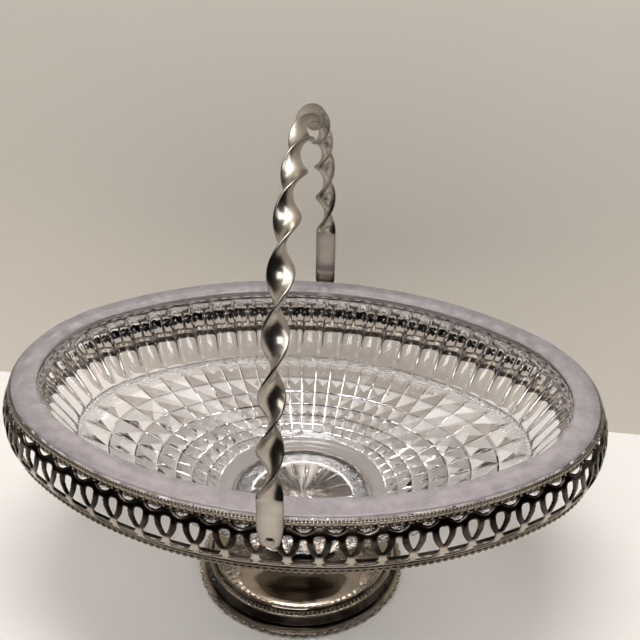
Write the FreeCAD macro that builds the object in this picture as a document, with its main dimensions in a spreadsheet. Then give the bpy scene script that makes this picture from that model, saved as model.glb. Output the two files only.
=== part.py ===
import FreeCAD, Part
import Sketcher

# Oval cake basket: a pressed glass bowl held in a silver-plated gallery, on a round
# pedestal foot, with a twisted strap handle that swings on two rivets.
# Millimetres. The origin is the middle of the foot on the table, +Z is up, +X runs
# along the oval and the handle's two rivets lie on the Y axis.

import math
import os

DOC = FreeCAD.newDocument("cake_basket")

# Driving sizes. An "offset" is measured square to the oval, outwards from the crest
# line of the top beading, so that every moulding is parallel to every other one.
SIZE_ROWS = [
    ("oval_half_length", 145.0, "crest line of the top beading, half its length"),
    ("oval_half_width", 101.0, "crest line of the top beading, half its width"),
    ("end_radius", 75.1, "radius of the crest line round each end"),
    ("end_motifs", 10, "pierced motifs round each end"),
    ("side_motifs", 20, "pierced motifs along each side"),
    ("band_top_height", 117.4, "where the pierced band meets the top rail"),
    ("band_tall", 22.2, "height of the pierced band"),
    ("band_thickness", 1.2, "gauge of the pierced band"),
    ("band_bulge", 4.5, "how far the band swells out between the rails"),
    ("shelf_thickness", 1.0, "top rail, the shelf that carries the glass"),
    ("shelf_depth", 4.5, "top rail, how far the shelf reaches inwards"),
    ("rail_reach", 0.6, "top rail, its outer face beyond the crest line"),
    ("lip_thickness", 1.1, "top rail, the upright lip round the glass"),
    ("lip_tall", 1.6, "top rail, height of that lip above the shelf"),
    ("crest_bead_rise", 1.0, "top beading, its height on the lip"),
    ("side_bead_tall", 1.6, "second beading, its width on the rail"),
    ("side_bead_rise", 0.9, "second beading, how far it stands out"),
    ("bottom_rail_tall", 4.0, "bottom rail, its height"),
    ("bottom_rail_thickness", 1.4, "bottom rail, its thickness"),
    ("bottom_bead_tall", 1.9, "bottom beading, its width on the rail"),
    ("bottom_bead_rise", 1.0, "bottom beading, how far it stands out"),
    ("glass_edge_play", 0.3, "between the glass and the lip"),
    ("flange_width", 12.2, "flat glass rim, its width"),
    ("flange_thickness", 4.2, "flat glass rim, its thickness"),
    ("wall_thickness", 3.8, "glass wall, measured along the level"),
    ("wall_lean", 18.5, "how far the fluted wall runs inwards"),
    ("bead_line_height", 87.0, "where the flutes end, inside the bowl"),
    ("ring_radius", 44.0, "smooth ring round the base, inside the bowl"),
    ("ring_height", 54.5, "the same ring, above the table"),
    ("well_radius", 38.0, "flat bottom of the bowl"),
    ("well_height", 52.0, "flat bottom of the bowl, above the table"),
    ("boss_radius", 35.0, "round base of the glass"),
    ("boss_height", 41.5, "underside of that base, above the table"),
    ("boss_tall", 5.0, "round base of the glass, its upright side"),
    ("belly_radius", 46.0, "glass above that base, where the bowl starts to open"),
    ("belly_height", 49.0, "the same place, above the table"),
    ("bead_line_drop", 3.0, "outside of the wall below the end of the flutes"),
    ("turned_sides", 36, "flat facets round each turned piece of the foot"),
    ("sheet", 1.2, "gauge of the foot's metal"),
    ("cup_play", 0.3, "between the glass base and the cup wall"),
    ("cup_tall", 5.0, "cup wall above the cup floor"),
    ("neck_radius", 20.0, "narrowest part of the stem"),
    ("neck_height", 31.0, "the same place, above the table"),
    ("stem_head_radius", 27.0, "stem where it meets the cup"),
    ("step_radius", 48.4, "foot of the stem"),
    ("step_height", 10.2, "ledge that carries the stem"),
    ("step_bead_width", 1.7, "beading round the stem's foot, its width"),
    ("step_bead_rise", 1.5, "the same beading, its height"),
    ("foot_radius", 55.1, "foot, without its edge beading"),
    ("foot_edge_tall", 2.2, "thick edge of the foot"),
    ("foot_land", 3.0, "flat ring on which the foot stands"),
    ("edge_bead_rise", 1.0, "foot's edge beading, how far it stands out"),
    ("edge_bead_land", 0.4, "the same beading, how far its two edges stand out"),
    ("channel_radius", 51.3, "hollow of the foot's moulding, its deepest place"),
    ("channel_height", 5.4, "the same place, above the table"),
    ("ledge_radius", 50.3, "outer edge of the ledge that carries the stem"),
    ("ledge_inner_radius", 46.4, "inner edge of that ledge"),
    ("dome_radius", 42.0, "stem, on the shoulder of its dome"),
    ("dome_height", 13.3, "the same place, above the table"),
    ("sweep_radius", 31.0, "stem, where its sweep turns upwards"),
    ("sweep_height", 16.5, "the same place, above the table"),
    ("sweep_gauge", 3.9, "stem's metal at its foot, measured along the level"),
    ("lug_width", 8.0, "plate behind the handle's end"),
    ("lug_face", 4.8, "offset of that plate's outer face"),
    ("lug_play", 0.1, "between that plate and the band behind it"),
    ("lug_drop", 4.6, "how far the plate reaches below the top rail"),
    ("pivot_drop", 2.5, "rivets, below the underside of the top rail"),
    ("rivet_radius", 1.45, "rivet's shank"),
    ("rivet_sides", 16, "flat facets round a rivet"),
    ("rivet_play", 0.05, "shank in the handle, and under the rivet's head"),
    ("rivet_seat_play", 0.02, "shank in the plate"),
    ("rivet_depth", 1.2, "how deep the shank sits in the plate"),
    ("strap_play", 0.3, "between the plate and the handle"),
    ("rivet_head_radius", 2.1, "rivet's head"),
    ("rivet_head_rise", 0.6, "rivet's head, its height"),
    ("strap_width", 11.2, "handle strap"),
    ("strap_end_width", 8.2, "handle strap at its cut end"),
    ("strap_thickness", 2.2, "handle strap"),
    ("strap_overhang", 3.3, "strap beyond the rivet"),
    ("strap_corner", 1.1, "cut corners of the strap's end"),
    ("leg_height", 20.0, "straight part of the handle above the rivets"),
    ("handle_rise", 136.2, "middle line of the handle above the rivets"),
    ("front_flat", 15.0, "untwisted strap above the front rivet"),
    ("back_flat", 36.0, "untwisted strap above the back rivet"),
    ("half_turns", 14, "half turns of twist in the handle"),
    ("half_turn_steps", 4, "flat steps in which the handle turns half round"),
    ("strap_taper", 9.0, "length over which the strap widens from its end"),
    ("arch_steps", 96, "short lengths in which the handle's arch is measured"),
    ("overrun", 3.0, "how far a cut runs past what it cuts"),
]


def make_sheet():
    sheet = DOC.addObject("Spreadsheet::Sheet", "Sizes")
    for row, (alias, number, note) in enumerate(SIZE_ROWS, start=1):
        sheet.set("A" + str(row), alias)
        sheet.set("B" + str(row), str(number))
        sheet.setAlias("B" + str(row), alias)
        sheet.set("C" + str(row), note)
    DOC.recompute()
    return sheet


SHEET = make_sheet()


SAME_PLACE = 1e-6


def value(expression):
    """The number that an expression on the sheet stands for."""
    found = SHEET.evalExpression(expression)
    return float(getattr(found, "Value", found))


def size(alias):
    return "Sizes." + alias


# The oval: four arcs that meet smoothly, two round the ends and two along the sides.
END_CENTRE = "(Sizes.oval_half_length - Sizes.end_radius)"
SIDE_RADIUS = ("((Sizes.oval_half_width^2 + " + END_CENTRE + "^2 - Sizes.end_radius^2)"
               " / (2 * (Sizes.oval_half_width - Sizes.end_radius)))")
SIDE_CENTRE = "(" + SIDE_RADIUS + " - Sizes.oval_half_width)"
END_HALF_ANGLE = "atan(" + SIDE_CENTRE + " / " + END_CENTRE + ")"
SIDE_HALF_ANGLE = "atan(" + END_CENTRE + " / " + SIDE_CENTRE + ")"

# Heights and offsets that several pieces share.
BAND_FOOT = "(Sizes.band_top_height - Sizes.band_tall)"
SHELF_TOP = "(Sizes.band_top_height + Sizes.shelf_thickness)"
LIP_TOP = "(" + SHELF_TOP + " + Sizes.lip_tall)"
LIP_INNER = "(Sizes.rail_reach - Sizes.lip_thickness)"
GLASS_EDGE = "(" + LIP_INNER + " - Sizes.glass_edge_play)"
GLASS_TOP = "(" + SHELF_TOP + " + Sizes.flange_thickness)"
GLASS_MOUTH = "(" + GLASS_EDGE + " - Sizes.flange_width)"
BAND_OUTER = "(Sizes.band_thickness / 2)"
RAIL_FOOT = "(" + BAND_FOOT + " - Sizes.bottom_rail_tall)"
CUP_FLOOR = "(Sizes.boss_height - Sizes.sheet)"
PIVOT_HEIGHT = "(Sizes.band_top_height - Sizes.pivot_drop)"
SIDE_BEAD_FACE = "(Sizes.rail_reach + Sizes.side_bead_rise)"
STRAP_INNER = "(Sizes.lug_face + Sizes.strap_play)"
STRAP_OUTER = "(" + STRAP_INNER + " + Sizes.strap_thickness)"


def new_body(label):
    body = DOC.addObject("PartDesign::Body", label)
    body.Label = label
    body.Placement = FreeCAD.Placement()
    return body


def new_sketch(body, name, role, lift=None):
    """A sketch on one of the body's own planes, lifted along that plane's normal."""
    sketch = body.newObject("Sketcher::SketchObject", name)
    plane = [f for f in body.Origin.OriginFeatures if f.Role == role][0]
    sketch.AttachmentSupport = (plane, "")
    sketch.MapMode = "FlatFace"
    if lift is not None:
        sketch.setExpression("AttachmentOffset.Base.z", lift)
    return sketch


def fix_point(sketch, geometry, end, x, y):
    """Holds one end of a line or arc at a place given by two expressions."""
    across = sketch.addConstraint(
        Sketcher.Constraint("DistanceX", -1, 1, geometry, end, value(x)))
    sketch.setExpression("Constraints[" + str(across) + "]", x)
    up = sketch.addConstraint(
        Sketcher.Constraint("DistanceY", -1, 1, geometry, end, value(y)))
    sketch.setExpression("Constraints[" + str(up) + "]", y)


def outline(sketch, corners):
    """A closed outline with straight sides, from its corners as pairs of expressions."""
    spots = [FreeCAD.Vector(value(x), value(y), 0) for x, y in corners]
    sides = []
    for index, corner in enumerate(corners):
        line = Part.LineSegment(spots[index], spots[(index + 1) % len(spots)])
        sides.append(sketch.addGeometry(line, False))
        fix_point(sketch, sides[index], 1, corner[0], corner[1])
    for index, side in enumerate(sides):
        following = sides[(index + 1) % len(sides)]
        sketch.addConstraint(Sketcher.Constraint("Coincident", side, 2, following, 1))


def upright_axis(sketch, x):
    """A construction line that stands up at x, for a turned feature to turn about."""
    foot = FreeCAD.Vector(value(x), 0, 0)
    head = FreeCAD.Vector(value(x), value(size("oval_half_width")), 0)
    line = sketch.addGeometry(Part.LineSegment(foot, head), True)
    fix_point(sketch, line, 1, x, "0")
    fix_point(sketch, line, 2, x, size("oval_half_width"))


def level_axis(sketch, height):
    """A construction line along Y at one height, for a feature turned about the rivet."""
    near = FreeCAD.Vector(0, value(height), 0)
    far = FreeCAD.Vector(value(size("oval_half_width")), value(height), 0)
    line = sketch.addGeometry(Part.LineSegment(near, far), True)
    fix_point(sketch, line, 1, "0", height)
    fix_point(sketch, line, 2, size("oval_half_width"), height)


def turned(body, name, sketch, kind, angle):
    """Turns a sketch about its own construction line, to add metal or to cut it."""
    feature = body.newObject("PartDesign::" + kind, name)
    feature.Profile = sketch
    feature.ReferenceAxis = (sketch, ["Axis0"])
    if angle is None:
        feature.Angle = 360.0
    else:
        feature.Midplane = True
        feature.setExpression("Angle", angle)
    sketch.Visibility = False
    return feature


def shifted(corners, base):
    """The same outline with its offsets counted from another line."""
    return [(base + " + " + across, up) for across, up in corners]


def mirrored(body, name, feature, role):
    copy = body.newObject("PartDesign::Mirrored", name)
    copy.Originals = [feature]
    plane = [f for f in body.Origin.OriginFeatures if f.Role == role][0]
    copy.MirrorPlane = (plane, [""])
    copy.Refine = False
    body.Tip = copy
    return copy


def oval_ring(label, corners):
    """A moulding that runs right round the oval, from its section in offsets and
    heights: one turned length for each of the oval's four arcs."""
    body = new_body(label)
    end = new_sketch(body, label + "_end_section", "XZ_Plane")
    outline(end, shifted(corners, size("oval_half_length")))
    upright_axis(end, END_CENTRE)
    end_length = turned(body, label + "_end", end, "Revolution", "2 * " + END_HALF_ANGLE)
    side = new_sketch(body, label + "_side_section", "YZ_Plane")
    outline(side, shifted(corners, size("oval_half_width")))
    upright_axis(side, "0 - " + SIDE_CENTRE)
    side_length = turned(body, label + "_side", side, "Revolution", "2 * " + SIDE_HALF_ANGLE)
    DOC.recompute()
    mirrored(body, label + "_other_end", end_length, "YZ_Plane")
    DOC.recompute()
    mirrored(body, label + "_other_side", side_length, "XZ_Plane")
    return body


def bead_corners(corner, width, rise, upwards):
    """Section of the ridged wire on which the beads are raised: a flat back and two
    slopes. It stands upwards on its rail, or outwards from it."""
    x, y = corner
    if upwards:
        return [(x, y), (x + " + " + width, y), (x + " + " + width + " / 2", y + " + " + rise)]
    return [(x, y), (x + " + " + rise, y + " + " + width + " / 2"), (x, y + " + " + width)]


def round_piece(label, corners):
    """A piece turned about the middle of the foot."""
    body = new_body(label)
    sketch = new_sketch(body, label + "_section", "XZ_Plane")
    outline(sketch, corners)
    upright_axis(sketch, "0")
    turned(body, label + "_turned", sketch, "Revolution", None)
    return body


# Gallery: the top rail with its shelf and lip, two rows of beading, the pierced band
# and the bottom rail with its beading.
def make_top_rail():
    reach = size("rail_reach")
    oval_ring("top_rail", [
        ("0 - " + size("shelf_depth"), size("band_top_height")),
        (reach, size("band_top_height")),
        (reach, LIP_TOP),
        (LIP_INNER, LIP_TOP),
        (LIP_INNER, SHELF_TOP),
        ("0 - " + size("shelf_depth"), SHELF_TOP),
    ])


def make_bottom_rail():
    outer = BAND_OUTER
    inner = "(" + BAND_OUTER + " - Sizes.bottom_rail_thickness)"
    oval_ring("bottom_rail", [
        (inner, RAIL_FOOT),
        (outer, RAIL_FOOT),
        (outer, BAND_FOOT),
        (inner, BAND_FOOT),
    ])


def make_bead_wires():
    oval_ring("top_bead_crest", bead_corners(
        (LIP_INNER, LIP_TOP), size("lip_thickness"), size("crest_bead_rise"), True))
    oval_ring("top_bead_side", bead_corners(
        (size("rail_reach"), size("band_top_height")),
        size("side_bead_tall"), size("side_bead_rise"), False))
    oval_ring("bottom_bead", bead_corners(
        (BAND_OUTER, RAIL_FOOT), size("bottom_bead_tall"), size("bottom_bead_rise"), False))


def number(alias):
    return value(size(alias))


def flat_face(corners, place):
    """A face inside a closed outline of (x, y) corners. place puts one in space."""
    spots = [place(x, y) for x, y in corners]
    return Part.Face(Part.makePolygon(spots + spots[:1]))


# Where the band's profile bends and what is pierced in it, as shares of the band's
# height, and across as shares of the bulge or of a motif's width. An opening is given
# by its right half, from the top down.
BULGE_SHARES = [(0.0, 0.0), (0.29, 0.9), (0.72, 0.9), (1.0, 0.0)]
DROP_SHARES = [(0.09, 0.9), (0.2, 0.72), (0.0, 0.468)]
SMILE_SHARES = [(0.33, 1.0), (0.0, 0.914)]
BELL_SHARES = [(0.0, 0.82), (0.12, 0.72), (0.36, 0.343)]
SLOT_SHARES = [(0.0, 0.216), (0.36, 0.169), (0.0, 0.122)]


def opening(half_shares, motif_width):
    """A closed outline in (across, height) corners, from the shares of its right half."""
    foot = value(BAND_FOOT)
    tall = number("band_tall")
    right = [(motif_width * across, foot + tall * up) for across, up in half_shares]
    left = [(-x, z) for x, z in reversed(right) if x > 0]
    return right + left


def band_motif(radius, step):
    """One motif of the band, flat along its own short width and swelling out between
    the rails, with its openings cut square to it. It is made about the Z axis."""
    foot = value(BAND_FOOT)
    tall = number("band_tall")
    half = number("band_thickness") / 2
    bulge = number("band_bulge")
    chord = math.cos(math.radians(step / 2))
    outer = [((radius + half + bulge * out) * chord, foot + tall * up) for up, out in BULGE_SHARES]
    inner = [((radius - half + bulge * out) * chord, foot + tall * up) for up, out in BULGE_SHARES]
    face = flat_face(outer + inner[::-1], lambda x, z: FreeCAD.Vector(x, -foot, z))
    strip = face.extrude(FreeCAD.Vector(0, 2 * foot, 0))
    far = radius + bulge + number("overrun")
    slope = far * math.tan(math.radians(step / 2))
    wedge = flat_face([(0, 0), (far, -slope), (far, slope)], lambda x, y: FreeCAD.Vector(x, y, 0))
    motif = strip.common(wedge.extrude(FreeCAD.Vector(0, 0, foot + 2 * tall)))
    start = radius - number("overrun")
    through = FreeCAD.Vector(2 * number("overrun") + bulge, 0, 0)

    motif_width = 2 * radius * math.sin(math.radians(step / 2))

    def cutter(half_shares, turn):
        corners = opening(half_shares, motif_width)
        prism = flat_face(corners, lambda y, z: FreeCAD.Vector(start, y, z)).extrude(through)
        prism.rotate(FreeCAD.Vector(0, 0, 0), FreeCAD.Vector(0, 0, 1), turn)
        return prism

    cutters = [cutter(DROP_SHARES, 0)]
    for between in (SMILE_SHARES, BELL_SHARES, SLOT_SHARES):
        cutters.append(cutter(between, -step / 2))
        cutters.append(cutter(between, step / 2))
    return motif.cut(cutters).removeSplitter()


def walls_of(motif, step):
    """The motif's faces without the two flat ones where it meets its neighbours."""
    kept = []
    for face in motif.Faces:
        joined = False
        for turn in (-step / 2, step / 2):
            away = FreeCAD.Vector(-math.sin(math.radians(turn)), math.cos(math.radians(turn)), 0)
            if all(abs(v.Point.dot(away)) < SAME_PLACE for v in face.Vertexes):
                joined = True
        if not joined:
            kept.append(face)
    return kept


def gallery_arcs():
    """The oval's four arcs: centre, middle angle, radius, half angle and motifs."""
    end_centre = value(END_CENTRE)
    side_centre = value(SIDE_CENTRE)
    return [
        (end_centre, 0, 0, number("end_radius"), value(END_HALF_ANGLE), number("end_motifs")),
        (0, -side_centre, 90, value(SIDE_RADIUS), value(SIDE_HALF_ANGLE), number("side_motifs")),
        (-end_centre, 0, 180, number("end_radius"), value(END_HALF_ANGLE), number("end_motifs")),
        (0, side_centre, 270, value(SIDE_RADIUS), value(SIDE_HALF_ANGLE), number("side_motifs")),
    ]


def make_gallery_band():
    """The pierced band: the same motif again and again round the oval's four arcs."""
    faces = []
    for x, y, middle, radius, half_angle, motifs in gallery_arcs():
        step = 2 * half_angle / motifs
        walls = walls_of(band_motif(radius, step), step)
        for index in range(int(motifs)):
            turn = middle - half_angle + (index + 0.5) * step
            spot = FreeCAD.Placement(FreeCAD.Vector(x, y, 0),
                                     FreeCAD.Rotation(FreeCAD.Vector(0, 0, 1), turn))
            faces += [wall.transformed(spot.toMatrix()) for wall in walls]
    shell = Part.Shell(faces)
    shell.sewShape()
    band = DOC.addObject("Part::Feature", "gallery_band")
    band.Label = "gallery_band"
    band.Shape = Part.Solid(shell)
    band.Placement = FreeCAD.Placement()


def flat_faced(label, outlines, capped):
    """A solid with flat faces from each outline's corners to the next one's. Capped, it
    ends in its first and last outlines; otherwise the last one leads back to the first."""
    faces = []
    following = outlines[1:] + outlines[:1]
    if capped:
        following = outlines[1:]
        ends = (outlines[0], outlines[-1])
        faces = [Part.Face(Part.makePolygon(end + end[:1])) for end in ends]
    for here, there in zip(outlines, following):
        for index in range(len(here)):
            beside = (index + 1) % len(here)
            corners = [here[index], here[beside], there[beside], there[index]]
            faces.append(Part.Face(Part.makePolygon(corners + corners[:1])))
    shell = Part.Shell(faces)
    shell.sewShape()
    solid = Part.Solid(shell)
    if solid.Volume < 0:
        solid.reverse()
    piece = DOC.addObject("Part::Feature", label)
    piece.Label = label
    piece.Shape = solid
    piece.Placement = FreeCAD.Placement()
    return piece


# Foot: a moulded base with its beaded edge, the ring of beads on its ledge, the stem
# that sweeps up from it and the cup in which the glass stands. All are turned pieces,
# drawn with flat facets. The cup and the beading are faceted solids less the hollow
# inside them. The base and the stem are given face by face, because a loft bends their
# long sloping facets.
def faceted(name, corners):
    """A solid through many-sided outlines, each with a radius and a height."""
    outlines = []
    for index, (radius, height) in enumerate(corners):
        sides = DOC.addObject("Part::RegularPolygon", name + "_outline_" + str(index))
        sides.setExpression("Polygon", size("turned_sides"))
        sides.setExpression("Circumradius", radius)
        sides.setExpression("Placement.Base.z", height)
        outlines.append(sides)
    loft = DOC.addObject("Part::Loft", name)
    loft.Sections = outlines
    loft.Solid = True
    loft.Ruled = True
    return loft


def hollow_piece(label, outside, inside):
    piece = DOC.addObject("Part::Cut", label)
    piece.Label = label
    piece.Base = faceted(label + "_outside", outside)
    piece.Tool = faceted(label + "_inside", inside)
    return piece


def faceted_ring(label, section):
    """A hollow turned piece from its closed section of radii and heights."""
    sides = int(number("turned_sides"))
    turns = [2 * math.pi * index / sides for index in range(sides)]
    outlines = []
    for radius, height in section:
        reach, level = value(radius), value(height)
        outlines.append([FreeCAD.Vector(reach * math.cos(turn), reach * math.sin(turn), level)
                         for turn in turns])
    return flat_faced(label, outlines, False)


def make_foot():
    step = size("step_height")
    edge = size("foot_edge_tall")
    foot = size("foot_radius")
    faceted_ring("foot_base", [
        (foot, "0"),
        (foot, edge),
        (size("channel_radius"), size("channel_height")),
        (size("ledge_radius"), step),
        (size("ledge_inner_radius"), step),
        (foot + " - Sizes.foot_land", "0"),
    ])
    hollow_piece("foot_edge_bead", [
        (foot + " + Sizes.edge_bead_land", "0"),
        (foot + " + Sizes.edge_bead_rise", edge + " / 2"),
        (foot + " + Sizes.edge_bead_land", edge),
    ], [
        (foot, "0"),
        (foot, edge),
    ])
    bead_top = step + " + Sizes.step_bead_rise"
    hollow_piece("foot_step_bead", [
        (size("step_radius") + " + Sizes.step_bead_width", step),
        (size("step_radius") + " + Sizes.step_bead_width / 2", bead_top),
    ], [
        (size("step_radius"), step),
        (size("step_radius"), bead_top),
    ])
    faceted_ring("foot_stem", [
        (size("step_radius"), step),
        (size("dome_radius"), size("dome_height")),
        (size("sweep_radius"), size("sweep_height")),
        (size("neck_radius"), size("neck_height")),
        (size("stem_head_radius"), CUP_FLOOR),
        ("Sizes.neck_radius - Sizes.sheet", CUP_FLOOR),
        ("Sizes.neck_radius - Sizes.sheet", size("neck_height")),
        ("Sizes.sweep_radius - Sizes.sheet", "Sizes.sweep_height - Sizes.sheet"),
        (size("step_radius") + " - Sizes.sweep_gauge", step),
    ])
    wall = "Sizes.boss_radius + Sizes.cup_play"
    top = "Sizes.boss_height + Sizes.cup_tall"
    hollow_piece("foot_cup", [
        (wall + " + Sizes.sheet", CUP_FLOOR),
        (wall + " + Sizes.sheet", top),
    ], [
        (wall, size("boss_height")),
        (wall, top),
    ])


# Glass bowl: a round base that opens into an oval wall under a flat rim. Its facets are
# as wide as the gallery's motifs, so that all of them are flat.
def glass_outline(height, offset, radius=None):
    """A corner for each motif at one height: on the oval at an offset, or on a circle
    at the place that faces the same way."""
    spots = []
    for x, y, middle, arc_radius, half_angle, motifs in gallery_arcs():
        for index in range(int(motifs)):
            turn = math.radians(middle - half_angle + 2 * half_angle * index / motifs)
            if radius is None:
                centre = FreeCAD.Vector(x, y, 0)
                reach = arc_radius + value(offset)
            else:
                centre = FreeCAD.Vector(0, 0, 0)
                reach = value(radius)
            out = FreeCAD.Vector(math.cos(turn), math.sin(turn), 0)
            spots.append(centre + out * reach + FreeCAD.Vector(0, 0, value(height)))
    return spots


def make_glass():
    lean = "(Sizes.wall_lean / (" + GLASS_TOP + " - Sizes.bead_line_height))"
    outer_line = "(" + GLASS_MOUTH + " - Sizes.wall_lean + Sizes.wall_thickness)"
    under_rim = ("(" + GLASS_MOUTH + " + Sizes.wall_thickness - Sizes.flange_thickness * "
                 + lean + ")")
    outlines = [
        glass_outline(size("boss_height"), None, size("boss_radius")),
        glass_outline("Sizes.boss_height + Sizes.boss_tall", None, size("boss_radius")),
        glass_outline(size("belly_height"), None, size("belly_radius")),
        glass_outline("Sizes.bead_line_height - Sizes.bead_line_drop", outer_line),
        glass_outline(SHELF_TOP, under_rim),
        glass_outline(SHELF_TOP, GLASS_EDGE),
        glass_outline(GLASS_TOP, GLASS_EDGE),
        glass_outline(GLASS_TOP, GLASS_MOUTH),
        glass_outline(size("bead_line_height"), "(" + GLASS_MOUTH + " - Sizes.wall_lean)"),
        glass_outline(size("ring_height"), None, size("ring_radius")),
        glass_outline(size("well_height"), None, size("well_radius")),
    ]
    flat_faced("glass_bowl", outlines, True)


# Handle: a flat strap twisted on its own middle line, two plates that carry it and the
# two rivets on which it swings.
def place_on_arch(steps, along):
    """Where the handle's middle line is, "along" its length from the front end, and the
    way it runs there: up a straight leg, over half an ellipse and down the other leg."""
    leg = number("strap_overhang") + number("leg_height")
    foot = value(PIVOT_HEIGHT) - number("strap_overhang")
    half = number("oval_half_width") + value(STRAP_INNER) + number("strap_thickness") / 2
    if along <= leg:
        return (-half, foot + along), (0.0, 1.0)
    past = along - leg
    for (start, y, z), (stop, next_y, next_z) in zip(steps, steps[1:]):
        if past <= stop:
            share = (past - start) / (stop - start)
            run = math.hypot(next_y - y, next_z - z)
            spot = (y + (next_y - y) * share, z + (next_z - z) * share)
            return spot, ((next_y - y) / run, (next_z - z) / run)
    return (half, foot + leg - (past - steps[-1][0])), (0.0, -1.0)


def arch_table():
    """Points along the half ellipse, each with its distance from the first."""
    half = number("oval_half_width") + value(STRAP_INNER) + number("strap_thickness") / 2
    spring = value(PIVOT_HEIGHT) + number("leg_height")
    rise = number("handle_rise") - number("leg_height")
    count = int(number("arch_steps"))
    table = []
    run = 0.0
    for index in range(count + 1):
        turn = math.pi * index / count
        y = -half * math.cos(turn)
        z = spring + rise * math.sin(turn)
        if table:
            run += math.hypot(y - table[-1][1], z - table[-1][2])
        table.append((run, y, z))
    return table


def strap_stations(length):
    """Distances along the strap, each with the strap's half width and its turn there."""
    overhang = number("strap_overhang")
    corner = number("strap_corner")
    taper = number("strap_taper")
    full = number("strap_width") / 2
    end = number("strap_end_width") / 2
    start = overhang + number("front_flat")
    stop = length - overhang - number("back_flat")
    steps = int(number("half_turns") * number("half_turn_steps"))
    twist = math.pi * number("half_turns")
    stations = [(0.0, end - corner, 0.0), (corner, end, 0.0), (taper, full, 0.0)]
    for index in range(steps + 1):
        share = index / steps
        stations.append((start + (stop - start) * share, full, twist * share))
    leg_end = length - overhang - number("leg_height")
    stations.append(((stop + leg_end) / 2, full, twist))
    stations.append((leg_end, full, twist))
    stations.append((length - taper, full, twist))
    stations.append((length - corner, end, twist))
    stations.append((length, end - corner, twist))
    return stations


def strap_section(steps, along, half_width, turn):
    """The strap's four corners, one distance along it."""
    (y, z), (run_y, run_z) = place_on_arch(steps, along)
    half = number("strap_thickness") / 2
    wide = FreeCAD.Vector(math.cos(turn), run_z * math.sin(turn), -run_y * math.sin(turn))
    thick = FreeCAD.Vector(-math.sin(turn), run_z * math.cos(turn), -run_y * math.cos(turn))
    middle = FreeCAD.Vector(0, y, z)
    return [middle + wide * across * half_width + thick * side * half
            for across, side in ((-1, 1), (1, 1), (1, -1), (-1, -1))]


def make_handle():
    steps = arch_table()
    length = steps[-1][0] + 2 * (number("strap_overhang") + number("leg_height"))
    sections = [strap_section(steps, *station) for station in strap_stations(length)]
    faces = [Part.Face(Part.makePolygon(sections[0] + sections[0][:1]))]
    faces.append(Part.Face(Part.makePolygon(sections[-1] + sections[-1][:1])))
    for here, following in zip(sections, sections[1:]):
        for index in range(len(here)):
            beside = (index + 1) % len(here)
            quad = [here[index], here[beside], following[beside], following[index]]
            for corners in ((0, 1, 2), (0, 2, 3)):
                spots = [quad[corner] for corner in corners]
                faces.append(Part.Face(Part.makePolygon(spots + spots[:1])))
    shell = Part.Shell(faces)
    shell.sewShape()
    strap = Part.Solid(shell)
    if strap.Volume < 0:
        strap.reverse()
    reach = 2 * (number("oval_half_width") + value(STRAP_OUTER))
    hole = Part.makeCylinder(number("rivet_radius") + number("rivet_play"), reach,
                             FreeCAD.Vector(0, -reach / 2, value(PIVOT_HEIGHT)),
                             FreeCAD.Vector(0, 1, 0))
    handle = DOC.addObject("Part::Feature", "handle_strap")
    handle.Label = "handle_strap"
    handle.Shape = strap.cut(hole).removeSplitter()
    handle.Placement = FreeCAD.Placement()


def make_lugs():
    """Plate behind the back end of the strap, bent to the rail, with a blind hole for the
    rivet, and its twin at the front."""
    top_bead = "(Sizes.band_top_height + Sizes.side_bead_tall)"
    foot = "(Sizes.band_top_height - Sizes.lug_drop)"
    share, out = BULGE_SHARES[2]
    swell = ("(Sizes.band_bulge * " + str(out) + " * Sizes.lug_drop / ((1 - " + str(share)
             + ") * Sizes.band_tall))")
    clear = "(" + SIDE_BEAD_FACE + " + Sizes.lug_play)"
    body = new_body("handle_lug_back")
    section = new_sketch(body, "lug_section", "YZ_Plane")
    outline(section, shifted([
        (size("rail_reach"), top_bead),
        (size("rail_reach"), LIP_TOP),
        (size("lug_face"), LIP_TOP),
        (size("lug_face"), foot),
        ("(" + BAND_OUTER + " + Sizes.lug_play + " + swell + ")", foot),
        (clear, size("band_top_height")),
        (clear, top_bead),
    ], size("oval_half_width")))
    upright_axis(section, "0 - " + SIDE_CENTRE)
    turned(body, "lug_plate", section, "Revolution",
           "2 * asin(Sizes.lug_width / (2 * " + SIDE_RADIUS + "))")
    face = "Sizes.oval_half_width + Sizes.lug_face"
    hole = new_sketch(body, "lug_hole_section", "YZ_Plane")
    rim = PIVOT_HEIGHT + " + Sizes.rivet_radius + Sizes.rivet_seat_play"
    outline(hole, [
        (face + " - Sizes.rivet_depth", PIVOT_HEIGHT),
        (face + " + Sizes.overrun", PIVOT_HEIGHT),
        (face + " + Sizes.overrun", rim),
        (face + " - Sizes.rivet_depth", rim),
    ])
    level_axis(hole, PIVOT_HEIGHT)
    turned(body, "lug_hole", hole, "Groove", None)
    twin = DOC.addObject("Part::Mirroring", "handle_lug_front")
    twin.Label = "handle_lug_front"
    twin.Source = body
    twin.Normal = FreeCAD.Vector(0, 1, 0)


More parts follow.
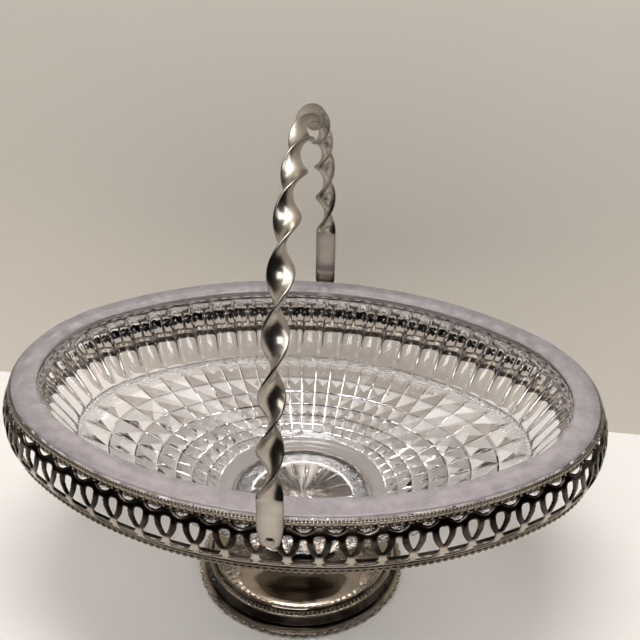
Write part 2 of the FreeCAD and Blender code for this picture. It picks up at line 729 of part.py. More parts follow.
def make_rivets():
    """The two rivets as one group: a shank that starts inside the plate, and a low head."""
    shank = DOC.addObject("Part::Prism", "rivet_shank")
    shank.setExpression("Polygon", size("rivet_sides"))
    shank.setExpression("Circumradius", size("rivet_radius"))
    shank.setExpression("Height", STRAP_OUTER + " + Sizes.rivet_play - Sizes.lug_face"
                        " + Sizes.rivet_depth")
    shank.Placement.Rotation = FreeCAD.Rotation(FreeCAD.Vector(1, 0, 0), -90)
    shank.setExpression("Placement.Base.y",
                        "Sizes.oval_half_width + Sizes.lug_face - Sizes.rivet_depth")
    shank.setExpression("Placement.Base.z", PIVOT_HEIGHT)
    head = DOC.addObject("Part::Prism", "rivet_head")
    head.setExpression("Polygon", size("rivet_sides"))
    head.setExpression("Circumradius", size("rivet_head_radius"))
    head.setExpression("Height", size("rivet_head_rise"))
    head.Placement.Rotation = FreeCAD.Rotation(FreeCAD.Vector(1, 0, 0), -90)
    head.setExpression("Placement.Base.y",
                       "Sizes.oval_half_width + " + STRAP_OUTER + " + Sizes.rivet_play")
    head.setExpression("Placement.Base.z", PIVOT_HEIGHT)
    back = DOC.addObject("Part::MultiFuse", "rivet_back")
    back.Shapes = [shank, head]
    front = DOC.addObject("Part::Mirroring", "rivet_front")
    front.Source = back
    front.Normal = FreeCAD.Vector(0, 1, 0)
    pair = DOC.addObject("Part::Compound", "rivets")
    pair.Label = "rivets"
    pair.Links = [back, front]


NODES = ["glass_bowl", "top_rail", "top_bead_crest", "top_bead_side", "gallery_band",
         "bottom_rail", "bottom_bead", "foot_cup", "foot_stem", "foot_step_bead",
         "foot_base", "foot_edge_bead", "handle_strap", "handle_lug_front",
         "handle_lug_back", "rivets"]

make_top_rail()
make_bottom_rail()
make_bead_wires()
make_gallery_band()
make_foot()
make_glass()
make_handle()
make_lugs()
make_rivets()
DOC.recompute()

for thing in DOC.Objects:
    if "Invalid" in thing.State or "Error" in thing.State:
        raise RuntimeError(thing.Name + " could not be built: " + thing.getStatusString())

os.makedirs("parts", exist_ok=True)
for node in NODES:
    piece = DOC.getObject(node)
    if piece.Shape.isNull() or not piece.Shape.isValid():
        raise RuntimeError(node + " has no valid shape")
    piece.Shape.exportStep("parts/" + node + ".step")
    print(node, len(piece.Shape.Solids), round(piece.Shape.Volume), piece.Shape.BoundBox)
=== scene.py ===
# %% [markdown]
# # A silver-plated cake basket with a pressed-glass bowl
#
# The basket stands on a spun foot. A pierced oval gallery carries a glass bowl with a
# flat rim, and a flat strap, twisted fourteen half turns, swings over it on two rivets.
# Each part below is built where it belongs and rides on its own CAD body, so that the
# handle can swing while everything else stands still.

# %% Open the frame
import math

import bpy
import numpy as np
from mathutils import Matrix, Vector


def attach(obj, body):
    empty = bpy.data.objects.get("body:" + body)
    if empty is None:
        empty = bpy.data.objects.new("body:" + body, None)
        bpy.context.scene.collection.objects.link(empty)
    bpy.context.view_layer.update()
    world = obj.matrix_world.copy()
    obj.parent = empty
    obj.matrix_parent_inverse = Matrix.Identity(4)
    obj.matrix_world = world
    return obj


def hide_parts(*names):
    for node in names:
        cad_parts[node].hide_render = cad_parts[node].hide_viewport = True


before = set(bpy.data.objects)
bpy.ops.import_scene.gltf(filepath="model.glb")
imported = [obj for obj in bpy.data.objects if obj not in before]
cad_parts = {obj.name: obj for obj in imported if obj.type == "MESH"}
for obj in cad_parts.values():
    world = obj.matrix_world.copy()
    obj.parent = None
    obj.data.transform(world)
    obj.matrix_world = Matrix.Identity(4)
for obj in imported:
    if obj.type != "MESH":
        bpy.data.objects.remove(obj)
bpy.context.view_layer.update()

MM = 0.001
print("nodes:", len(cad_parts))

# %% [markdown]
# ## The oval
#
# The smith laid the oval out with four arcs of a compass: two round the ends and two
# along the sides, each meeting the next without a corner. The pierced pattern is stepped
# off along it, ten times round each end and twenty times along each side. Every piece
# that follows the oval is placed by that count, so one number says how far round a place
# is: 0 at the right end, 15 at the back, 30 at the left end and 45 at the front.

# %% Places on the oval
END_MOTIFS, SIDE_MOTIFS = 10, 20
MOTIFS = 2 * (END_MOTIFS + SIDE_MOTIFS)
END_RADIUS = 75.1
END_CENTRE = 69.9
SIDE_RADIUS = 182.37
SIDE_CENTRE = 81.37
END_HALF_ANGLE = 49.34


def oval(t, offset):
    """The place t motifs round the oval and "offset" outside it, with the direction that
    faces outwards there. On each of the four arcs the direction turns evenly with t, and
    the place lies the arc's radius and the offset away from its centre."""
    half_end = END_MOTIFS / 2
    left_start = END_MOTIFS + SIDE_MOTIFS
    front_start = left_start + END_MOTIFS
    u = (np.asarray(t, float) + half_end) % MOTIFS
    right, back = u < END_MOTIFS, (u >= END_MOTIFS) & (u < left_start)
    left, front = (u >= left_start) & (u < front_start), u >= front_start
    side_turn = (180 - 2 * END_HALF_ANGLE) / SIDE_MOTIFS
    angle = np.select(
        [right, back, left, front],
        [(u - half_end) / half_end * END_HALF_ANGLE,
         END_HALF_ANGLE + (u - END_MOTIFS) * side_turn,
         180 + (u - left_start - half_end) / half_end * END_HALF_ANGLE,
         180 + END_HALF_ANGLE + (u - front_start) * side_turn])
    angle = np.radians(angle)
    middle_x = np.select([right, left], [END_CENTRE, -END_CENTRE], 0.0)
    middle_y = np.select([back, front], [-SIDE_CENTRE, SIDE_CENTRE], 0.0)
    radius = np.where(right | left, END_RADIUS, SIDE_RADIUS) + offset
    out_x, out_y = np.cos(angle), np.sin(angle)
    return middle_x + radius * out_x, middle_y + radius * out_y, out_x, out_y


# %% Pieces from grids of points
def new_piece(name, points, faces, node, body):
    """A mesh piece from points in millimetres, on its body and standing for its node."""
    mesh = bpy.data.meshes.new(name)
    mesh.from_pydata((np.asarray(points) * MM).tolist(), [], faces)
    mesh.validate()
    mesh.polygons.foreach_set("use_smooth", np.ones(len(mesh.polygons), bool))
    mesh.update()
    piece = bpy.data.objects.new(name, mesh)
    bpy.context.scene.collection.objects.link(piece)
    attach(piece, body)
    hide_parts(node)
    return piece


def grid_faces(rows, columns, close_rows=False, start=0):
    """Four-cornered faces between neighbouring points of a grid, row by row. Each row
    closes on itself, and where asked the last row leads back to the first."""
    index = np.arange(rows * columns).reshape(rows, columns) + start
    if close_rows:
        index = np.concatenate([index, index[:1]], axis=0)
    index = np.concatenate([index, index[:, :1]], axis=1)
    corners = [index[:-1, :-1], index[:-1, 1:], index[1:, 1:], index[1:, :-1]]
    return np.stack(corners, -1).reshape(-1, 4)


def swept_points(section, columns):
    """A section of (offset, height) corners carried round the oval."""
    t = np.arange(columns) / columns * MOTIFS
    rows = []
    for offset, height in section:
        x, y, _, _ = oval(t, offset)
        rows.append(np.stack([x, y, np.full(columns, height)], -1))
    return np.stack(rows)


# %% [markdown]
# ## Top rail and bottom rail
#
# Each rail is a drawn moulding, bent to the oval and soldered at one end. The top rail
# has a shelf on which the glass stands and a lip round it. A curve with a bevel could give
# the same shape. Here the section's corners are carried round the oval as one grid, because
# the offsets are then real sizes that fit the pieces beside it.

# %% Rails
RAIL_COLUMNS = 480
top_section = [(-3.9, 117.4), (0.0, 117.4), (0.0, 116.5), (0.5, 116.4), (0.6, 119.6),
               (0.45, 119.9), (0.2, 120.0), (-0.2, 120.0), (-0.5, 119.8), (-0.5, 118.4),
               (-3.9, 118.4)]
points = swept_points(top_section, RAIL_COLUMNS)
faces = grid_faces(len(top_section), RAIL_COLUMNS, close_rows=True)
top_rail = new_piece("top_rail_moulding", points.reshape(-1, 3), faces.tolist(),
                     "top_rail", "basket")

bottom_section = [(-0.7, 92.6), (-0.5, 92.4), (0.5, 92.4), (0.7, 92.6), (0.75, 93.6),
                  (0.95, 94.0), (0.95, 94.6), (0.75, 95.0), (0.5, 95.4), (-0.6, 95.4),
                  (-0.7, 95.2)]
points = swept_points(bottom_section, RAIL_COLUMNS)
faces = grid_faces(len(bottom_section), RAIL_COLUMNS, close_rows=True)
bottom_rail = new_piece("bottom_rail_moulding", points.reshape(-1, 3), faces.tolist(),
                        "bottom_rail", "basket")
print("corners of the two rails:", len(top_section), len(bottom_section))

# %% [markdown]
# ## Beading
#
# Beaded wire was rolled between two grooved wheels and soldered along the rails and round
# the foot. The beads on the crest are the shortest, eight to a motif; the other two rows
# have four. An array along a curve could place them. Here one small ball is set down at
# all places at once, so that each row stays a single light mesh.

# %% Bead rows
def repeat(points, faces, places, axes):
    """One small shape set down at many places: "axes" holds its three directions there."""
    points, faces = np.asarray(points), np.asarray(faces)
    spots = places[:, None, :] + np.einsum("pk,nkc->npc", points, axes)
    steps = np.arange(len(places))[:, None, None] * len(points)
    return spots.reshape(-1, 3), (faces[None] + steps).reshape(-1, faces.shape[1])


def ball(sides=8, rows=5):
    """A bead: rings of points with radius 1, joined row to row and open at its two small
    ends.
    """
    turn = np.arange(sides) / sides * 2 * np.pi
    rise = np.linspace(-0.46, 0.46, rows) * np.pi
    x = np.cos(rise)[:, None] * np.cos(turn)
    y = np.cos(rise)[:, None] * np.sin(turn)
    z = np.repeat(np.sin(rise)[:, None], sides, axis=1)
    points = np.stack([x, y, z], -1).reshape(-1, 3)
    return points, grid_faces(rows, sides)


def oval_axes(t, offset, height):
    """Places on the oval and, at each, the directions outwards, along and up."""
    x, y, out_x, out_y = oval(t, offset)
    height = np.broadcast_to(height, x.shape)
    places = np.stack([x, y, height], -1)
    zero = np.zeros_like(out_x)
    out = np.stack([out_x, out_y, zero], -1)
    along = np.stack([-out_y, out_x, zero], -1)
    up = np.stack([zero, zero, zero + 1], -1)
    return places, np.stack([out, along, up], -2)


def bead_piece(name, node, places, axes, size):
    """Beads at the places: "size" is each bead's half size outwards, along and up."""
    points, faces = ball()
    spots, corners = repeat(points * np.asarray(size), faces, places, axes)
    return new_piece(name, spots, corners.tolist(), node, "basket")


SMALL_PER_MOTIF, LARGE_PER_MOTIF = 8, 4
small_t = np.arange(MOTIFS * SMALL_PER_MOTIF) / SMALL_PER_MOTIF
large_t = np.arange(MOTIFS * LARGE_PER_MOTIF) / LARGE_PER_MOTIF
half_bead = 0.5 / LARGE_PER_MOTIF
crest = bead_piece("crest_beads", "top_bead_crest", *oval_axes(small_t, 0.1, 120.2),
                   (0.8, 0.6, 0.9))
side = bead_piece("side_beads", "top_bead_side",
                  *oval_axes(large_t + half_bead, 0.75, 118.2), (0.7, 0.8, 0.75))
bottom = bead_piece("bottom_beads", "bottom_bead", *oval_axes(large_t, 0.4, 93.0),
                    (1.0, 1.7, 1.25))
print("beads:", len(small_t), len(large_t), len(large_t))

# %% [markdown]
# ## The pierced gallery
#
# The gallery is a band of sheet brass, stamped and pierced flat, then bent to the oval,
# bellied and soldered. One motif holds a drop in its middle; between two drops stand a
# smile under the rail, a bell and a low slot. Booleans could cut the openings, but they
# leave sharp edges and long thin faces. So the band is made from a fine grid: at each
# point the distance to the nearest opening says whether there is metal, and how round
# the edge is there.

# %% One motif
BAND_FOOT, BAND_TOP = 95.2, 117.4
PITCH = 12.9
CELLS_ACROSS, CELLS_UP = 26, 42


def smooth_outline(corners, steps=8):
    """A closed curve through the corners' neighbourhood: a quadratic B-spline, which
    touches the middle of each side of the outline."""
    corners = np.asarray(corners, float)
    before, after = np.roll(corners, 1, 0), np.roll(corners, -1, 0)
    start, stop = (before + corners) / 2, (corners + after) / 2
    s = (np.arange(steps) / steps)[None, :, None]
    curve = (1 - s) ** 2 * start[:, None] + 2 * s * (1 - s) * corners[:, None] \
        + s ** 2 * stop[:, None]
    return curve.reshape(-1, 2)


def distance_outside(points, outline):
    """Distance from each point to a closed outline, negative inside it."""
    start, stop = outline, np.roll(outline, -1, 0)
    run = stop - start
    gap = points[:, None] - start[None]
    share = np.clip((gap * run).sum(-1) / (run ** 2).sum(-1), 0, 1)
    near = np.linalg.norm(gap - share[..., None] * run, axis=-1).min(1)
    above = start[None, :, 1] > points[:, None, 1]
    crosses = above != (stop[None, :, 1] > points[:, None, 1])
    reach = start[:, 0] + (points[:, None, 1] - start[:, 1]) / np.where(
        run[:, 1] == 0, 1e-9, run[:, 1]) * run[:, 0]
    inside = (crosses & (points[:, None, 0] < reach)).sum(1) % 2 == 1
    return np.where(inside, -near, near)


def mirror_outline(half):
    """An outline from its right half, listed from top to bottom."""
    half = np.asarray(half, float)
    return np.concatenate([half, (half * [-1, 1])[::-1]])


drop = smooth_outline(mirror_outline([(1.3, 114.2), (2.2, 113.2), (2.0, 110.4),
                                      (1.0, 107.4), (0.1, 105.4)]))
smile = smooth_outline(mirror_outline([(4.65, 118.6), (4.3, 117.0), (2.3, 116.2),
                                       (1.6, 115.5)]))
bell = smooth_outline(mirror_outline([(1.0, 112.9), (1.2, 111.6), (1.5, 109.4),
                                      (2.3, 107.4), (3.6, 105.0), (4.9, 103.3),
                                      (4.6, 102.6)]))
slot = smooth_outline(mirror_outline([(0.8, 100.6), (1.5, 99.6), (3.3, 99.6),
                                      (4.9, 101.0), (4.9, 98.2), (4.0, 97.7)]))

across = np.arange(CELLS_ACROSS) / CELLS_ACROSS * PITCH - PITCH / 2
upward = np.linspace(BAND_FOOT, BAND_TOP, CELLS_UP + 1)
grid_u, grid_z = np.meshgrid(across, upward)
grid = np.stack([grid_u.ravel(), grid_z.ravel()], -1)


def metal_depth(points):
    """How far each point of a motif lies inside the metal, negative in an opening, and
    its distance from the drop's edge."""
    from_drop = distance_outside(points, drop)
    depth = from_drop.copy()
    for shift in (-PITCH / 2, PITCH / 2):
        moved = points - [shift, 0]
        for outline in (smile, bell, slot):
            depth = np.minimum(depth, distance_outside(moved, outline))
    return depth, from_drop


def slope_of(points, step=0.05):
    """The direction in which the metal gets deeper, from differences over a short step."""
    right, up = np.array([step, 0]), np.array([0, step])
    slope = np.stack([metal_depth(points + right)[0] - metal_depth(points - right)[0],
                      metal_depth(points + up)[0] - metal_depth(points - up)[0]], -1)
    return slope / np.maximum(np.linalg.norm(slope, axis=1, keepdims=True), 1e-6)


shape = grid_u.shape
centres = grid + [PITCH / CELLS_ACROSS / 2, (BAND_TOP - BAND_FOOT) / CELLS_UP / 2]
solid = (metal_depth(centres)[0] > 0).reshape(shape)[:-1]
solid_round = np.concatenate([solid[:, -1:], solid], axis=1)
touching = np.zeros(shape, int)
touching[:-1] += solid_round[:, 1:].astype(int) + solid_round[:, :-1]
touching[1:] += solid_round[:, 1:].astype(int) + solid_round[:, :-1]
full = np.where((np.arange(shape[0]) % CELLS_UP == 0)[:, None], 2, 4)
edge = (touching > 0) & (touching < full)
depth, from_drop = (found.reshape(shape) for found in metal_depth(grid))
moved = grid.reshape(shape + (2,)) - slope_of(grid).reshape(shape + (2,)) * depth[..., None]
moved[0, :, 1], moved[-1, :, 1] = BAND_FOOT, BAND_TOP
motif = np.where(edge[..., None], moved, grid.reshape(shape + (2,)))
depth = np.where(edge, 0.0, np.maximum(depth, 0.0))
print("cells of metal in a motif:", int(solid.sum()), "of", solid.size)

# %% Bend the motifs round the oval
SHEET_HALF = 0.7
EDGE_ROUND = 0.5
BELLY = 3.85
FRAME_RISE, FRAME_WIDTH, FRAME_SHARE = 0.25, 1.3, 0.4
FRAME_FOOT, FRAME_FADE = 104.0, 3.0
rows, columns = CELLS_UP + 1, MOTIFS * CELLS_ACROSS
half_gauge = SHEET_HALF * np.sqrt(1 - (1 - np.clip(depth / EDGE_ROUND, 0, 1)) ** 2)
frame_rise = FRAME_RISE * np.clip(1 - ((from_drop - FRAME_WIDTH) / FRAME_WIDTH) ** 2, 0, 1) \
    * np.clip((grid_z - FRAME_FOOT) / FRAME_FADE, 0, 1) * (depth > 0)


def belly(height):
    """How far the band stands outside the oval: fullest half way up, where it is BELLY,
    and less by the cube of the distance from there."""
    share = (height - BAND_FOOT) / (BAND_TOP - BAND_FOOT)
    return BELLY * (1 - np.abs(2 * share - 1) ** 3)


t = (motif[..., 0] / PITCH)[None] + (np.arange(MOTIFS) + 0.5)[:, None, None]
heights = np.broadcast_to(motif[..., 1], t.shape)
sides = []
for out in (half_gauge + frame_rise * FRAME_SHARE, -half_gauge + frame_rise * FRAME_SHARE):
    x, y, _, _ = oval(t, belly(heights) + out)
    sides.append(np.stack([x, y, heights], -1).transpose(1, 0, 2, 3).reshape(-1, 3))
points = np.concatenate(sides)

# %% Faces of the gallery
# The outside and the inside hold the same cells of metal. Where a cell's edge is the edge
# of an opening, both sides share one row of points, so the sheet closes on itself there.
behind = rows * columns
outer = grid_faces(rows, columns)[np.tile(solid, (1, MOTIFS)).ravel()]
inner = outer[:, ::-1] + behind
low_row = np.arange(columns)
low_next = np.roll(low_row, -1)
top_row, top_next = low_row + behind - columns, low_next + behind - columns
wall_top = np.stack([top_row, top_next, top_next + behind, top_row + behind],
                    -1)[np.tile(solid[-1], MOTIFS)]
wall_low = np.stack([low_next, low_row, low_row + behind, low_next + behind],
                    -1)[np.tile(solid[0], MOTIFS)]
faces = np.concatenate([outer, inner, wall_top, wall_low])
welded = np.arange(len(points))
on_edge = np.tile(edge, (1, MOTIFS)).ravel().nonzero()[0]
inside_rows = (on_edge // columns > 0) & (on_edge // columns < rows - 1)
welded[on_edge[inside_rows] + behind] = on_edge[inside_rows]
used, faces = np.unique(welded[faces], return_inverse=True)
faces = faces.reshape(-1, 4)

# %% Where the gallery is painted dark
# The sheet's colour is painted dark, a painted reflection of the dark room: from just above
# the feet of the bells upwards, and between the drops down to the slots.
plate = np.clip((np.abs(motif[..., 0]) - 1.9) / 0.5, 0, 1)
dull = np.clip((motif[..., 1] - 103.6) / 1.4, 0, 1)
dull = np.maximum(dull, plate * np.clip((motif[..., 1] - 99.4) / 0.8, 0, 1))
dull = np.tile(np.tile(dull, (1, MOTIFS)).ravel(), 2)[used]
gallery = new_piece("pierced_gallery", points[used], faces.tolist(), "gallery_band",
                    "basket")
gallery.data.attributes.new("dull", "FLOAT", "POINT").data.foreach_set("value", dull)
print("gallery faces:", len(faces))

# %% [markdown]
# ## The glass bowl
#
# The bowl was pressed: hot glass in an iron mould, a smooth plunger for the inside. Its
# rim is flat and matt, its wall fluted, and below a line of small beads the outside is
# cut into pyramids that get smaller towards the round base, which carries a star. A bump
# texture could draw the pattern, but light would then pass straight through it. So all of
# it is one closed surface with real relief, and the light bends in it as in a real bowl.

# %% Glass stations
# Each station: share of the circle, offset from the oval, radius of the circle, height,
# how many rows of points follow it, and what is pressed into them.
BASE_STATIONS = [
    ((1, -27.7, 0.6, 43.4), 10, "star"),
    ((1, -27.7, 27.0, 43.4), 1, "plain"),
    ((1, -27.7, 28.2, 42.0), 18, "stipple"),
    ((1, -27.7, 34.3, 41.8), 1, "plain"),
    ((1, -27.7, 35.0, 42.4), 1, "plain"),
    ((1, -27.7, 35.0, 46.2), 2, "plain"),
    ((1, -27.7, 45.4, 48.7), 0, "plain"),
]
PYRAMID_FOOT, PYRAMID_TOP = (1, -27.7, 46.0, 49.0), (0, -27.7, 46.0, 84.0)
WALL_STATIONS = [
    ((0, -27.4, 46.0, 84.4), 5, "beads"),
    ((0, -26.2, 46.0, 87.0), 18, "flutes"),
    ((0, -11.7, 46.0, 117.6), 2, "plain"),
    ((0, -10.6, 46.0, 118.4), 1, "plain"),
    ((0, -1.3, 46.0, 118.4), 1, "plain"),
    ((0, -0.8, 46.0, 118.9), 1, "plain"),
    ((0, -0.8, 46.0, 121.7), 1, "plain"),
    ((0, -1.0, 46.0, 122.2), 1, "plain"),
    ((0, -1.5, 46.0, 122.4), 6, "crown"),
    ((0, -12.2, 46.0, 122.4), 1, "plain"),
    ((0, -12.8, 46.0, 122.1), 1, "plain"),
    ((0, -13.2, 46.0, 121.4), 5, "plain"),
    ((0, -31.2, 46.0, 87.6), 1, "plain"),
    ((0, -31.9, 46.0, 86.4), 8, "plain"),
    ((1, -31.9, 46.0, 56.0), 2, "plain"),
    ((1, -31.9, 44.0, 54.6), 2, "plain"),
    ((1, -31.9, 38.5, 52.6), 2, "plain"),
    ((1, -31.9, 34.0, 52.0), 4, "plain"),
    ((1, -31.9, 0.6, 52.0), 0, "plain"),
]


def path_of(stations):
    """The stations with the rows between them, what is pressed into each row, and how
    far along its own stretch each row is."""
    path, kinds, progress = [], [], []
    for (start, count, kind), (stop, _, _) in zip(stations, stations[1:]):
        share = np.arange(count) / count
        way = np.asarray(stop, float) - np.asarray(start)
        path.append(np.asarray(start) + share[:, None] * way)
        kinds += [kind] * count
        progress.append(share)
    path = np.concatenate(path + [np.asarray([stations[-1][0]], float)])
    kinds = np.array(kinds + ["plain"])
    return path, kinds, np.concatenate(progress + [np.zeros(1)])[:, None]


def shell_points(path, t):
    """A point for each row of the path and each t: on the oval, on the circle at the
    place that faces the same way, or part of the way from one to the other."""
    circle, offset, radius, height = (path[:, k:k + 1] for k in range(4))
    x, y, out_x, out_y = oval(np.broadcast_to(t, (len(path), t.shape[-1])), offset)
    return np.stack([(1 - circle) * x + circle * radius * out_x,
                     (1 - circle) * y + circle * radius * out_y,
                     np.broadcast_to(height, x.shape)], -1)


def raised(surface, relief):
    """The surface moved along its own outward direction by the relief."""
    along = np.roll(surface, -1, 1) - np.roll(surface, 1, 1)
    upwards = np.gradient(surface, axis=0)
    facing = np.cross(along, upwards)
    facing /= np.maximum(np.linalg.norm(facing, axis=-1, keepdims=True), 1e-9)
    return surface + facing * relief[..., None]


def tent(s):
    """0 at whole numbers and 1 half way between them."""
    return 1 - np.abs(2 * (s % 1.0) - 1)


# %% Base of the bowl: star and stipple
# The lines of the base and of the pyramids run out from the middle at equal angles.
SPOKES = 52
all_t = np.linspace(0, MOTIFS, 6001)[None, :]


def spoke_points(path, turns):
    """A point for each row of the path at each share of a whole turn, seen from above:
    the angle round the middle is read backwards to find the place on the oval."""
    fine = shell_points(path, all_t)
    fine_angle = np.unwrap(np.arctan2(fine[..., 1], fine[..., 0]), axis=1)
    t = [np.interp(turns * 2 * np.pi, row, all_t[0]) for row in fine_angle]
    return shell_points(path, np.stack(t))


path, kinds, progress = path_of(BASE_STATIONS)
BASE_COLUMNS = 8 * SPOKES
STAR_RAYS, STAR_DEPTH, STAR_RADIUS = 16, 1.0, 27.0
STIPPLE_DEPTH = 0.5
turn = np.arange(BASE_COLUMNS) / BASE_COLUMNS
from_centre = path[:, 2:3]
rays = -STAR_DEPTH * np.clip(1 - tent(turn * STAR_RAYS) / 0.32, 0, 1) \
    * np.clip(from_centre / 3.0, 0, 1) * np.clip((STAR_RADIUS - from_centre) / 2.0, 0, 1)
stipple = -STIPPLE_DEPTH * tent(turn * 2 * SPOKES) * tent(progress * 6)
relief = np.where((kinds == "star")[:, None], rays, 0.0)
relief = np.where((kinds == "stipple")[:, None], stipple, relief)
base = raised(spoke_points(path, turn), relief)
base_faces = grid_faces(len(path), BASE_COLUMNS)
print("base rows:", len(path))

# %% Pyramids
# Each pyramid is four flat sides round one point, with a narrow groove round its foot, so
# a spoke and a row take four steps each. The rows get lower as the bowl gets narrower.
PYRAMID_ROWS, ROW_RATIO = 7, 0.86
PYRAMID_RISE, GROOVE_DEPTH, UNEVEN = 1.5, 0.5, 0.2
FULL_CELL = 8.0
CELL_STEPS = np.array([0, 0.07, 0.5, 0.93])
PYRAMID_COLUMNS = 4 * SPOKES
row_sizes = ROW_RATIO ** np.arange(PYRAMID_ROWS)[::-1]
row_edges = np.concatenate([[0], np.cumsum(row_sizes) / row_sizes.sum()])
row_place = np.append((np.arange(PYRAMID_ROWS)[:, None] + CELL_STEPS).ravel(),
                      PYRAMID_ROWS)
share = np.interp(row_place, np.arange(PYRAMID_ROWS + 1), row_edges)
path = np.asarray(PYRAMID_FOOT) + share[:, None] * (
    np.asarray(PYRAMID_TOP, float) - np.asarray(PYRAMID_FOOT))
spoke_place = (np.arange(SPOKES)[:, None] + CELL_STEPS).ravel()
surface = spoke_points(path, spoke_place / SPOKES)
cell_width = np.linalg.norm(np.roll(surface, -4, 1) - surface, axis=-1)
inside = np.minimum(tent(spoke_place)[None, :], tent(row_place)[:, None])
size = np.clip(cell_width / FULL_CELL, 0.3, 1.0)
rise = np.interp(inside, [0, 0.14, 1], [-GROOVE_DEPTH, 0, PYRAMID_RISE]) * size
chance = np.random.default_rng(7)
uneven = chance.uniform(-UNEVEN, UNEVEN, rise.shape) * (inside > 0.9)
pyramids = raised(surface, rise + uneven)
start = len(base.reshape(-1, 3))
quads = grid_faces(len(path), PYRAMID_COLUMNS, start=start)
column = np.tile(np.arange(PYRAMID_COLUMNS), len(path) - 1)
row = np.repeat(np.arange(len(path) - 1), PYRAMID_COLUMNS)
falls = ((column % 4 < 2) == (row % 4 < 2))[:, None]
pyramid_faces = np.where(falls, quads[:, [0, 1, 2, 0, 2, 3]],
                         quads[:, [1, 2, 3, 1, 3, 0]]).reshape(-1, 3)
pyramid_foot = start + np.arange(PYRAMID_COLUMNS)
pyramid_head = pyramid_foot + (len(path) - 1) * PYRAMID_COLUMNS
base_edge = np.arange(BASE_COLUMNS) + start - BASE_COLUMNS
start += len(surface.reshape(-1, 3))

# %% Wall of the bowl: beads, flutes, the flat rim and the smooth inside
# The wall swells outwards between its beads and its rim, which makes it a lens: the
# gallery behind it is seen taller than it is. Each motif has one flute between two ridges.
SWELL, RIDGE_RISE, TROUGH_DEPTH = 10.5, 0.8, 1.2
BEAD_RISE, CROWN_RISE = 1.6, 0.2
COLUMN_STEPS = np.array([0, 0.06, 0.11, 0.15, 0.2, 0.33, 0.5, 0.67, 0.8, 0.85, 0.89,
                         0.94])
t = (np.arange(MOTIFS)[:, None] + COLUMN_STEPS).reshape(1, -1)
COLUMNS = t.shape[1]
path, kinds, progress = path_of(WALL_STATIONS)
from_middle = np.abs(t % 1.0 - 0.5)
fade = np.clip(progress * 8, 0, 1) * np.clip((1 - progress) * 8, 0, 1)
ridge = np.clip(1 - ((0.5 - from_middle) / 0.2) ** 2, 0, 1) ** 1.5
round_end = np.clip((0.2 - progress) / 0.2, 0, 1)
trough = np.sqrt(np.clip(1 - (from_middle / 0.34) ** 2 - round_end ** 2, 0, 1))
swell = SWELL * np.clip(progress / 0.8, 0, 1) ** 1.4 \
    * np.clip((1 - progress) / 0.2, 0, 1) ** 0.5
flutes = (RIDGE_RISE * ridge - TROUGH_DEPTH * trough) * fade + swell
round_bead = np.sqrt(np.clip(1 - ((3 * t % 1.0) * 2 - 1) ** 2, 0, 1))
beads = BEAD_RISE * round_bead * np.sin(np.pi * progress)
crown = CROWN_RISE * (1 - (2 * progress - 1) ** 2) * np.ones_like(t)
relief = np.zeros((len(path), COLUMNS))
for kind, pattern in (("beads", beads), ("flutes", flutes), ("crown", crown)):
    relief = np.where((kinds == kind)[:, None], pattern, relief)
wall = raised(shell_points(path, t), relief)
wall_faces = grid_faces(len(path), COLUMNS, start=start)
wall_edge = np.arange(COLUMNS) + start
print("wall rows:", len(path))


# %% Join the parts of the glass
def zip_rings(points, ring_a, ring_b):
    """Triangles between two rings of points that lie close together. Walking round both
    by angle, each point met closes a triangle with the last two met."""
    rings, angles = [], []
    for ring in (ring_a, ring_b):
        angle = np.arctan2(points[ring][:, 1], points[ring][:, 0]) % (2 * np.pi)
        order = np.argsort(angle, kind="stable")
        rings.append(ring[order])
        angles.append(angle[order])
    side = np.repeat([0, 1], [len(ring_a), len(ring_b)])
    side = side[np.argsort(np.concatenate(angles), kind="stable")]
    (last_a, before_a), (last_b, before_b) = (
        [ring[(np.cumsum(side == k) - back) % len(ring)] for back in (1, 2)]
        for k, ring in enumerate(rings))
    return np.where((side == 0)[:, None], np.stack([before_a, last_a, last_b], -1),
                    np.stack([last_a, last_b, before_b], -1))


points = np.concatenate([part.reshape(-1, 3) for part in (base, pyramids, wall)])
faces = pyramid_faces.tolist() + base_faces.tolist() + wall_faces.tolist()
faces += zip_rings(points, base_edge, pyramid_foot).tolist()
faces += zip_rings(points, pyramid_head, wall_edge).tolist()
faces += [np.arange(BASE_COLUMNS)[::-1].tolist(),
          (wall_edge + (len(path) - 1) * COLUMNS).tolist()]
glass = new_piece("pressed_bowl", points, faces, "glass_bowl", "basket")
smooth = np.ones(len(glass.data.polygons), bool)
smooth[:len(pyramid_faces)] = False
glass.data.polygons.foreach_set("use_smooth", smooth)
print("glass faces:", len(faces))

# %% [markdown]
# ## The foot
#
# The foot was spun on a lathe over a wooden chuck: a moulded base with a hollow channel,
# a domed stem that sweeps up to a narrow neck, and a shallow cup for the glass. Two rows
# of beading dress its edge and the ledge at the foot of the dome. A Screw modifier could
# turn the profiles. Here each profile is turned as one grid, and curves are drawn through
# a few corners, because those corners are sizes that can be read and changed.


# %% Turned pieces
def eased(corners, steps=6):
    """An open curve near the corners: a quadratic B-spline with its ends on them."""
    corners = np.asarray(corners, float)
    middles = (corners[:-1] + corners[1:]) / 2
    s = (np.arange(steps) / steps)[None, :, None]
    bends = (1 - s) ** 2 * middles[:-1, None] + 2 * s * (1 - s) * corners[1:-1, None] \
        + s ** 2 * middles[1:, None]
    return np.concatenate([corners[:1], bends.reshape(-1, 2), middles[-1:], corners[-1:]])


